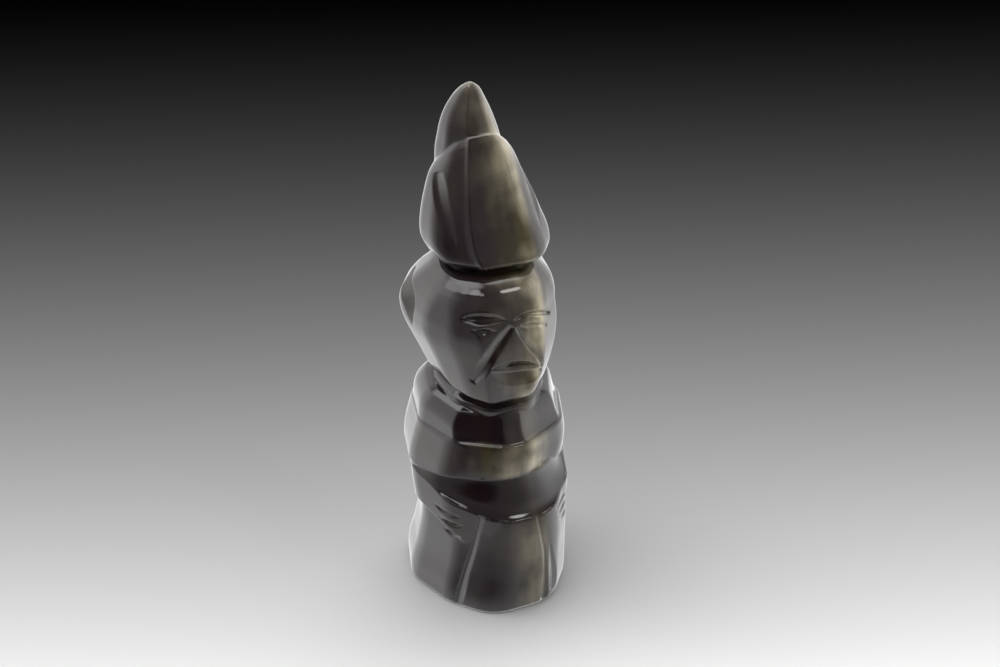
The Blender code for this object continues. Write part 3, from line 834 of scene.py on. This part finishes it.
def stoneMaterial():
    # the olive-gold silk of this stone carries a painted sheen
    material = bpy.data.materials.new("dark stone with olive-gold silk, wheel cut and polished")
    material.use_nodes = True
    tree = material.node_tree
    tree.nodes.clear()
    out = addNode(tree, "ShaderNodeOutputMaterial")
    place = addNode(tree, "ShaderNodeTexCoord")
    size = addNode(tree, "ShaderNodeMapping", {"Scale": (1 / mm, 1 / mm, 1 / mm)}, {
        "Vector": place.outputs["Object"],
    })
    point = size.outputs["Vector"]
    fibreSize = (stoneLook["fibreWidth"], stoneLook["fibreDepth"], stoneLook["fibreLength"])
    stretched = addNode(tree, "ShaderNodeMapping", {
        "Scale": [1 / side for side in fibreSize], "Rotation": stoneLook["fibreLean"],
    }, {"Vector": point})
    fibre = addNode(tree, "ShaderNodeTexNoise", {
        "Scale": 1.0, "Detail": 3.0, "Distortion": stoneLook["fibreWarp"],
    }, {"Vector": stretched.outputs["Vector"]})
    cloud = addNode(tree, "ShaderNodeTexNoise", {
        "Scale": 1 / stoneLook["cloudSize"], "Detail": 2.0,
    }, {"Vector": point})
    grain = addNode(tree, "ShaderNodeTexNoise", {
        "Scale": 1 / stoneLook["grainSize"], "Detail": 2.0,
    }, {"Vector": point})

    # the bands of painted sheen wander with the clouds, and threads of silk run down them
    split = addNode(tree, "ShaderNodeSeparateXYZ", None, {"Vector": point})
    # the clouds' own middle is 0.5, so they sway it to both sides
    sway = addNode(tree, "ShaderNodeMath", {"operation": "SUBTRACT", 1: 0.5}, {0: cloud.outputs["Fac"]})
    swayed = []
    for side in ("X", "Z"):
        moved = addNode(tree, "ShaderNodeMath", {
            "operation": "MULTIPLY_ADD", 1: stoneLook["paintedSheenWander"],
        }, {0: sway.outputs["Value"], 2: split.outputs[side]})
        swayed.append(moved.outputs["Value"])
    layers = []
    for name in ("paintedSheen", "paintedChestSheen"):
        layer = addNode(tree, "ShaderNodeMath", {"operation": "MULTIPLY"}, {
            0: strengthAt(tree, swayed[0], stoneLook[name]),
            1: strengthAt(tree, swayed[1], stoneLook[name + "Levels"]),
        })
        layers.append(layer.outputs["Value"])
    # both bands of painted sheen together
    paintedSheen = addNode(tree, "ShaderNodeMath", {"operation": "MAXIMUM"}, {0: layers[0], 1: layers[1]})
    threads = addNode(tree, "ShaderNodeValToRGB", {"stops": stoneLook["threads"]}, {
        "Fac": fibre.outputs["Fac"],
    })
    # the amount of painted sheen, broken up by the silk's threads
    silkAndPaintedSheen = addNode(tree, "ShaderNodeMath", {"operation": "MULTIPLY"}, {
        0: paintedSheen.outputs["Value"], 1: threads.outputs["Color"],
    })

    # colours, each speckled by the grain
    tints = zip(stoneLook["silkAndPaintedSheenShares"], (stoneLook["silkAndPaintedSheenDark"], stoneLook["silkAndPaintedSheen"]))
    tint = addNode(tree, "ShaderNodeValToRGB", {"stops": list(tints)}, {"Fac": cloud.outputs["Fac"]})
    grounds = zip(stoneLook["bodyShares"], (stoneLook["body"], stoneLook["brown"]))
    ground = addNode(tree, "ShaderNodeValToRGB", {"stops": list(grounds)}, {"Fac": fibre.outputs["Fac"]})
    # the painted sheen mixes the silk's gold into the base colour
    colour = addNode(tree, "ShaderNodeMix", {"data_type": "RGBA"}, {
        0: silkAndPaintedSheen.outputs["Value"], 6: ground.outputs["Color"], 7: tint.outputs["Color"],
    })
    fromLow, fromHigh = stoneLook["grainShares"]
    toLow, toHigh = stoneLook["grainTones"]
    speckle = addNode(tree, "ShaderNodeMapRange", {
        "From Min": fromLow, "From Max": fromHigh, "To Min": toLow, "To Max": toHigh,
    }, {"Value": grain.outputs["Fac"]})
    toned = addNode(tree, "ShaderNodeVectorMath", {"operation": "SCALE"}, {
        0: colour.outputs[2], "Scale": speckle.outputs["Result"],
    })
    # the painted sheen also sets how metallic the surface is
    metal = addNode(tree, "ShaderNodeMath", {"operation": "MULTIPLY", 1: stoneLook["silkAndPaintedSheenMetal"]}, {
        0: silkAndPaintedSheen.outputs["Value"],
    })

    waves = addNode(tree, "ShaderNodeTexNoise", {"Scale": 1 / stoneLook["wave"], "Detail": 1.0}, {
        "Vector": point,
    })
    bump = addNode(tree, "ShaderNodeBump", {"Strength": 1.0, "Distance": stoneLook["waveDepth"] * mm}, {
        "Height": waves.outputs["Fac"],
    })
    shader = addNode(tree, "ShaderNodeBsdfPrincipled", {
        "Roughness": stoneLook["silkRoughness"],
        "Specular IOR Level": 0.0,
        "Coat Weight": 1.0,
        "Coat Roughness": stoneLook["polishRoughness"],
        "Coat IOR": stoneLook["polishIor"],
    }, {
        "Base Color": toned.outputs["Vector"],
        "Metallic": metal.outputs["Value"],
        "Coat Normal": bump.outputs["Normal"],
    })
    tree.links.new(shader.outputs["BSDF"], out.inputs["Surface"])
    return material


idol.data.materials.clear()
idol.data.materials.append(stoneMaterial())
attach(idol, "root")
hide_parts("idol")
print("stone done")

cameraTurn = -24.0  # the photograph looks from the figure's right, in degrees from straight ahead

# paper sweep with painted shade: pale where the figure stands, and evenly darker behind it, as the light
# falls off
sweepPiece = {
    "width": 3.0,
    "near": 1.2,
    "far": 1.4,
    "turn": cameraTurn,
    # turns the painted shade's direction a little past the camera's, in degrees
    "paintedShadeTurn": 2.3,
    # the shade is ((from - fall * y) / (1 + draw * y)) ** power * pale, with y in metres towards the back
    "from": 0.803,
    "fall": 1.295,
    "draw": 1.281,
    "power": 2.35,
    "pale": 0.76,
}


def sweep():
    half = sweepPiece["width"] / 2
    near = -sweepPiece["near"]
    far = sweepPiece["far"]
    bm = bmesh.new()
    corners = ((-half, near), (half, near), (half, far), (-half, far))
    bm.faces.new([bm.verts.new((x, y, 0.0)) for x, y in corners])
    bmesh.ops.rotate(bm, matrix=Matrix.Rotation(radians(sweepPiece["turn"]), 3, "Z"), verts=bm.verts)
    return addObject("paperSweep", bm)


def paperMaterial():
    # the paper's colour carries painted shade
    material = bpy.data.materials.new("matt paper with painted shade, rolled")
    material.use_nodes = True
    tree = material.node_tree
    tree.nodes.clear()
    out = addNode(tree, "ShaderNodeOutputMaterial")
    place = addNode(tree, "ShaderNodeTexCoord")
    angle = radians(sweepPiece["turn"] + sweepPiece["paintedShadeTurn"])
    turned = addNode(tree, "ShaderNodeMapping", {"Rotation": (0.0, 0.0, -angle)}, {
        "Vector": place.outputs["Object"],
    })
    split = addNode(tree, "ShaderNodeSeparateXYZ", None, {"Vector": turned.outputs["Vector"]})
    along = split.outputs["Y"]
    # painted shade: the paper's colour darkens towards the back
    fall = addNode(tree, "ShaderNodeMath", {
        "operation": "MULTIPLY_ADD", 1: -sweepPiece["fall"], 2: sweepPiece["from"],
    }, {0: along})
    draw = addNode(tree, "ShaderNodeMath", {
        "operation": "MULTIPLY_ADD", 1: sweepPiece["draw"], 2: 1.0,
    }, {0: along})
    share = addNode(tree, "ShaderNodeMath", {"operation": "DIVIDE", "use_clamp": True}, {
        0: fall.outputs["Value"], 1: draw.outputs["Value"],
    })
    shade = addNode(tree, "ShaderNodeMath", {"operation": "POWER", 1: sweepPiece["power"]}, {
        0: share.outputs["Value"],
    })
    tone = addNode(tree, "ShaderNodeMath", {"operation": "MULTIPLY", 1: sweepPiece["pale"]}, {
        0: shade.outputs["Value"],
    })
    grey = addNode(tree, "ShaderNodeCombineColor", None, {
        "Red": tone.outputs["Value"], "Green": tone.outputs["Value"], "Blue": tone.outputs["Value"],
    })
    shader = addNode(tree, "ShaderNodeBsdfPrincipled", {"Roughness": 1.0, "Specular IOR Level": 0.0}, {
        "Base Color": grey.outputs["Color"],
    })
    tree.links.new(shader.outputs["BSDF"], out.inputs["Surface"])
    return material


floor = sweep()
floor.data.materials.append(paperMaterial())
floor.visible_glossy = False  # the polish mirrors the tent alone

# a white light tent round the figure, open to the dark room on the camera's side
tent = {
    "turn": cameraTurn,
    # how pale the wall is, from the camera's side to the far side
    "shades": (
        (0.0, 0.10), (0.10, 0.11), (0.22, 0.16), (0.42, 0.50), (0.52, 0.72), (0.62, 0.80), (0.75, 0.70),
        (1.0, 0.50),
    ),
    "strength": 2.6,
    # azimuth and height as the camera sees them, and reach, in degrees; the reach is soft outside its core
    "opening": (-6.0, 2.0, 34.0),
    "openingCore": 0.4,
    "openingLight": 0.06,
    "floor": 0.80,
    "floorShare": 0.22,
    "floorFrom": -0.42,
    "floorTo": -0.68,
    "top": 0.2,
    "topFrom": 0.50,
    "topTo": 0.85,
    # soft lamps over the tent: azimuth, height, reach and strength
    "lamps": (
        (-105.0, 62.0, 28.0, 3.5), (-98.0, 44.0, 15.0, 3.0), (-72.0, 56.0, 11.0, 3.5),
        (-48.0, 62.0, 10.0, 4.5), (-24.0, 61.0, 8.0, 3.5), (64.0, 56.0, 6.0, 7.0), (172.0, 58.0, 34.0, 3.0),
    ),
    "lampCore": 0.3,
}


def direction(azimuth, height):
    # azimuth 0 is towards -Y, the figure's front
    a = radians(azimuth)
    h = radians(height)
    return (sin(a) * cos(h), -cos(a) * cos(h), sin(h))


def studioTent():
    world = bpy.data.worlds.new("studioTent")
    bpy.context.scene.world = world
    world.use_nodes = True
    tree = world.node_tree
    tree.nodes.clear()
    out = addNode(tree, "ShaderNodeOutputWorld")
    place = addNode(tree, "ShaderNodeTexCoord")
    # turned so that -Y runs towards the camera
    turned = addNode(tree, "ShaderNodeMapping", {"Rotation": (0.0, 0.0, -radians(tent["turn"]))}, {
        "Vector": place.outputs["Generated"],
    })
    split = addNode(tree, "ShaderNodeSeparateXYZ", None, {"Vector": turned.outputs["Vector"]})
    along = addNode(tree, "ShaderNodeMapRange", {"From Min": -1.0, "From Max": 1.0}, {
        "Value": split.outputs["Y"],
    })
    shades = addNode(tree, "ShaderNodeValToRGB", {"stops": tent["shades"]}, {
        "Fac": along.outputs["Result"],
    })
    walls = addNode(tree, "ShaderNodeMath", {"operation": "MULTIPLY", 1: tent["strength"]}, {
        0: shades.outputs["Color"],
    })
    down = addNode(tree, "ShaderNodeMapRange", {
        "From Min": tent["floorFrom"], "From Max": tent["floorTo"], "interpolation_type": "SMOOTHSTEP",
    }, {"Value": split.outputs["Z"]})
    up = addNode(tree, "ShaderNodeMapRange", {
        "From Min": tent["topFrom"], "From Max": tent["topTo"], "interpolation_type": "SMOOTHSTEP",
    }, {"Value": split.outputs["Z"]})
    ground = addNode(tree, "ShaderNodeMath", {
        "operation": "MULTIPLY_ADD", 1: tent["floorShare"], 2: tent["floor"],
    }, {0: walls.outputs["Value"]})
    low = addNode(tree, "ShaderNodeMix", {"data_type": "FLOAT"}, {
        0: down.outputs["Result"], 2: walls.outputs["Value"], 3: ground.outputs["Value"],
    })
    high = addNode(tree, "ShaderNodeMix", {"data_type": "FLOAT", 3: tent["top"]}, {
        0: up.outputs["Result"], 2: low.outputs["Result"],
    })
    azimuth, height, reach = tent["opening"]
    facing = addNode(tree, "ShaderNodeVectorMath", {
        "operation": "DOT_PRODUCT", 1: direction(azimuth, height),
    }, {0: turned.outputs["Vector"]})
    room = addNode(tree, "ShaderNodeMapRange", {
        "From Min": cos(radians(reach)),
        "From Max": cos(radians(reach * tent["openingCore"])),
        "To Min": 1.0,
        "To Max": tent["openingLight"],
        "interpolation_type": "SMOOTHSTEP",
    }, {"Value": facing.outputs["Value"]})
    lit = addNode(tree, "ShaderNodeMath", {"operation": "MULTIPLY"}, {
        0: high.outputs["Result"], 1: room.outputs["Result"],
    })
    for azimuth, height, reach, amount in tent["lamps"]:
        facing = addNode(tree, "ShaderNodeVectorMath", {
            "operation": "DOT_PRODUCT", 1: direction(azimuth, height),
        }, {0: turned.outputs["Vector"]})
        glow = addNode(tree, "ShaderNodeMapRange", {
            "From Min": cos(radians(reach)),
            "From Max": cos(radians(reach * tent["lampCore"])),
            "To Max": amount,
            "interpolation_type": "SMOOTHSTEP",
        }, {"Value": facing.outputs["Value"]})
        lit = addNode(tree, "ShaderNodeMath", {"operation": "MAXIMUM"}, {
            0: lit.outputs["Value"], 1: glow.outputs["Result"],
        })
    shader = addNode(tree, "ShaderNodeBackground", {"Color": linear("#ffffff")}, {
        "Strength": lit.outputs["Value"],
    })
    tree.links.new(shader.outputs["Background"], out.inputs["Surface"])


studioTent()
bpy.context.scene.view_settings.view_transform = "Standard"

# the photograph's own angle: angles in degrees, distances in metres, lens and sensor in mm
cameraSpot = {
    "azimuth": cameraTurn,
    "pitch": 31.0,
    "distance": 0.626,
    "aim": 0.095,
    "side": 0.00495,
    "lens": 68.4,
    "sensor": 36.0,
}
turn = radians(cameraSpot["azimuth"])
away = Vector(direction(cameraSpot["azimuth"], cameraSpot["pitch"]))
sideways = Vector((cos(turn), sin(turn), 0.0))
aim = Vector((axis.x * mm, axis.y * mm, cameraSpot["aim"]))
camera = bpy.data.objects.new("camera", bpy.data.cameras.new("camera"))
bpy.context.scene.collection.objects.link(camera)
camera.data.lens = cameraSpot["lens"]
camera.data.sensor_width = cameraSpot["sensor"]
camera.location = aim + away * cameraSpot["distance"] + sideways * cameraSpot["side"]
camera.rotation_euler = away.to_track_quat("Z", "Y").to_euler()
bpy.context.scene.camera = camera
print("stage set")
